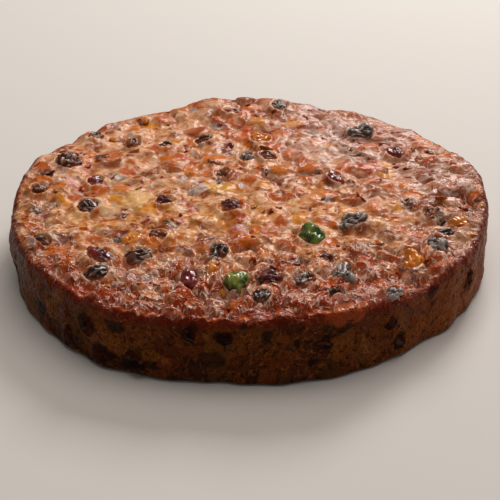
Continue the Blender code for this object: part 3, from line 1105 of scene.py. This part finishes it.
def under_film(tree, grain, colour, film, strength):
    """The fruit's colour, with the crust's film over its lowest part in a ragged edge."""
    proud = add(tree, "ShaderNodeAttribute", attribute_name="proud").outputs["Fac"]
    ragged = add(tree, "ShaderNodeTexNoise", {"Scale": 0.45, "Detail": 2.0, "Vector": grain}).outputs[0]
    height = weighted(tree, (ragged, -4.0), (proud, 1.0))
    return painted(tree, colour, (film, (height, -1.6, -0.2, strength, 0.0)))


def dried_fruit_material(name, dark, light, roughness, specular, coat, film):
    """Raisin skin: dark and waxy, lighter and browner on its ridges as painted sheen and darker in its
    grooves as painted shade, with a pale bloom that is partly painted sheen, under the film's edge.
    """
    waxy = {"Coat Weight": coat, "Coat Roughness": 0.15}
    look, tree, shader = food_material(name, roughness, specular, waxy)
    grain = add(tree, "ShaderNodeAttribute", attribute_name="grain").outputs["Vector"]
    uneven = add(tree, "ShaderNodeTexNoise", {"Scale": 0.28, "Detail": 3.0, "Vector": grain}).outputs[0]
    long = add(tree, "ShaderNodeVectorMath", {0: grain, 1: (0.3, 1.0, 1.0)}, operation="MULTIPLY").outputs[0]
    sheen_bloom = add(tree, "ShaderNodeTexNoise", {"Scale": 0.4, "Detail": 2.0, "Vector": long}).outputs[0]
    fine = add(tree, "ShaderNodeTexNoise", {"Scale": 0.8, "Detail": 2.0, "Vector": long}).outputs[0]
    ridge = grooves(tree, grain, RAISIN_WRINKLE)
    ridge_sheen = share_of(tree, ridge, (uneven, 0.35, 0.6, 0.3, 1.0))
    # painted sheen on the ridges, painted shade in the grooves
    colour = add(tree, "ShaderNodeValToRGB", {0: ridge_sheen}, ((0.1, dark), (0.9, light))).outputs[0]
    # pale bloom on the ridges: partly painted sheen, stronger for a glossier skin
    colour = painted(tree, colour, ("#B8AAA0", (sheen_bloom, 0.52, 0.62), ridge, SHEEN_BLOOM_SHARE * specular))
    finish(tree, shader, under_film(tree, grain, colour, film, 0.8), fine, 0.6, 0.6)
    return look


def chopped_material(name, roughness, scatter):
    """Chopped dried fruit: sticky and half glossy, each piece a colour of its own, darker in uneven patches.
    """
    scattering = {"Subsurface Weight": scatter, "Subsurface Scale": 2.0 * MM}
    look, tree, shader = food_material(name, roughness, 0.25, scattering)
    dye = add(tree, "ShaderNodeAttribute", attribute_name="dye").outputs["Color"]
    grain = add(tree, "ShaderNodeAttribute", attribute_name="grain").outputs["Vector"]
    uneven, film, fine = (
        add(tree, "ShaderNodeTexNoise", {"Scale": scale, "Detail": detail, "Vector": grain}).outputs[0]
        for scale, detail in ((0.4, 3.0), (0.3, 2.0), (0.7, 1.0))
    )
    deeper = {0: 1.0, 6: dye, 7: "#9C7868"}
    darkened = add(tree, "ShaderNodeMix", deeper, data_type="RGBA", blend_type="MULTIPLY").outputs[2]
    colour = painted(tree, darkened, (dye, (uneven, 0.35, 0.65)), ("#B48466", (film, 0.5, 0.6, 0.0, 0.6)))
    finish(tree, shader, colour, fine, 0.8, 0.7)
    return look


def glace_material(name, deep, mid, light):
    """Sugared fruit flesh: wet, clear enough to glow, deeper where it is thick."""
    wet = {"Coat Weight": 0.35, "Coat Roughness": 0.14}
    scattering = {"Subsurface Weight": 0.3, "Subsurface Scale": 3.0 * MM}
    look, tree, shader = food_material(name, 0.28, 0.5, {**wet, **scattering})
    grain = add(tree, "ShaderNodeAttribute", attribute_name="grain").outputs["Vector"]
    cloudy = {"Scale": 0.16, "Detail": 3.0, "Distortion": 0.6, "Vector": grain}
    thick = add(tree, "ShaderNodeTexNoise", cloudy).outputs[0]
    fine = add(tree, "ShaderNodeTexNoise", {"Scale": 0.5, "Detail": 2.0, "Vector": grain}).outputs[0]
    colour = add(tree, "ShaderNodeValToRGB", {0: thick}, ((0.3, deep), (0.5, mid), (0.7, light))).outputs[0]
    finish(tree, shader, under_film(tree, grain, colour, "#A86C40", 0.6), fine, 0.4, 0.6)
    return look


# The stage and the camera.


def stage():
    clear_selection()
    bpy.ops.mesh.primitive_plane_add(size=8, location=(0, 0, -0.0003))
    floor = bpy.context.object
    floor.name = "floor"
    look = bpy.data.materials.new("pale_floor")
    look.use_nodes = True
    shader = look.node_tree.nodes["Principled BSDF"]
    shader.inputs["Base Color"].default_value = linear(FLOOR_COLOUR)
    shader.inputs["Roughness"].default_value = 0.9
    floor.data.materials.append(look)

    world = bpy.data.worlds.new("studio")
    world.use_nodes = True
    sky = world.node_tree.nodes["Background"]
    sky.inputs["Color"].default_value = linear(SKY_COLOUR)
    sky.inputs["Strength"].default_value = SKY_STRENGTH
    bpy.context.scene.world = world
    bpy.context.scene.view_settings.view_transform = "Standard"

    for name, place, size, power, colour in LIGHTS:
        light = bpy.data.lights.new(name, "AREA")
        light.size = size
        light.energy = power
        light.color = linear(colour)[:3]
        lamp = bpy.data.objects.new(name, light)
        lamp.location = place
        lamp.visible_glossy = name == "window"
        lamp.rotation_euler = (-Vector(place)).to_track_quat("-Z", "Y").to_euler()
        bpy.context.scene.collection.objects.link(lamp)


def camera():
    data = bpy.data.cameras.new("camera")
    data.sensor_width = SENSOR
    data.lens = FOCAL_PIXELS / PHOTO_PIXELS * SENSOR
    data.clip_end = 20
    seen = bpy.data.objects.new("camera", data)
    rise = math.radians(CAMERA_ELEVATION)
    place = Vector((0, -math.cos(rise), math.sin(rise))) * CAMERA_AWAY
    look = (Vector(CAMERA_AIM) - place).to_track_quat("-Z", "Y").to_matrix().to_4x4()
    roll = Matrix.Rotation(math.radians(CAMERA_ROLL), 4, "Z")
    seen.matrix_world = Matrix.Translation(place * MM) @ look @ roll
    bpy.context.scene.collection.objects.link(seen)
    bpy.context.scene.camera = seen


# The pieces, dressed and tied to the body.


def dress_crust():
    """The crust, which replaces the cake's solid: calm glaze, crumpled glaze and baked side."""
    crust = cake_skin()
    mesh = crust.data
    mesh.materials.clear()
    for finish_values in CRUST_FINISHES:
        mesh.materials.append(crust_material(*finish_values))
    depths = np.empty(len(mesh.vertices))
    coarse = np.empty(len(mesh.vertices))
    mesh.attributes["depth"].data.foreach_get("value", depths)
    mesh.attributes["coarse"].data.foreach_get("value", coarse)
    for face in mesh.polygons:
        corner = face.vertices[0]
        wander = noise.noise(mesh.vertices[corner].co / (LUMP_SIZE * MM))
        if depths[corner] > SIDE_LOOK_FROM:
            face.material_index = 2
        else:
            face.material_index = int(coarse[corner] + CRUMPLED_WANDER * wander > CRUMPLED_FROM)
    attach(crust, "root")
    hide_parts("cake")
    return crust


def dress_fruit():
    """The fruit as large as berries, each a fine skin that replaces its solid."""
    looks = {kind: dried_fruit_material(*values) for kind, values in DRIED_FRUIT.items()}
    looks.update({kind: glace_material(*values) for kind, values in SUGARED_FRUIT.items()})
    deep = fruit_relief("raisin_wrinkles", 1.0, RAISIN_WRINKLE)
    soft = fruit_relief("glace_dimples", 0.7, GLACE_WRINKLE)
    for seed, name in enumerate(fruit_nodes()):
        kind = name.rsplit("_", 1)[0]
        piece = fruit_piece(name, deep if kind == "raisin" else soft, seed)
        piece.data.materials.append(looks[TINTS.get(name, kind)])
        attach(piece, "root")
        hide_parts(name)


def dress_chopped(crust):
    """The chopped fruit: the dark pieces at their places, then seeded peel and cherry between them."""
    form = lump_form()
    bm = bmesh.new()
    bm.from_mesh(crust.data)
    surface = BVHTree.FromBMesh(bm)
    bm.free()
    random.seed(5)
    taken = []
    for name in fruit_nodes():
        middle, half = fruit_box(name)
        taken.append((middle.x, middle.y, max(half.x, half.y) * 0.8))
    for x, y, length, width, *_ in PEEL_PIECES + CHERRY_PIECES:
        taken.append((x, y, min(length, width) * 0.4))
    dark = hand_pieces(surface, taken, RAISIN_PIECES, RAISIN_PROUD)
    peel = top_pieces(surface, taken, PEEL_COUNT, PEEL_LENGTHS, PEEL_PROUD, PEEL_COLOURS)
    red = top_pieces(surface, taken, CHERRY_COUNT, CHERRY_LENGTHS, CHERRY_PROUD, CHERRY_COLOURS)
    for name, slot, pieces, look in (
        ("chopped_raisins", "raisin", dark, chopped_material("chopped_raisin", 0.32, 0.0)),
        ("chopped_peel", "apricot", peel, chopped_material("candied_peel", 0.28, 0.2)),
        ("chopped_cherry", "red_cherry", red, chopped_material("chopped_glace_cherry", 0.28, 0.2)),
    ):
        piece = chopped(name, form, pieces)
        piece.data.materials.append(look)
        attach(piece, "root")


def main():
    camera()
    stage()
    crust = dress_crust()
    dress_fruit()
    dress_chopped(crust)


main()
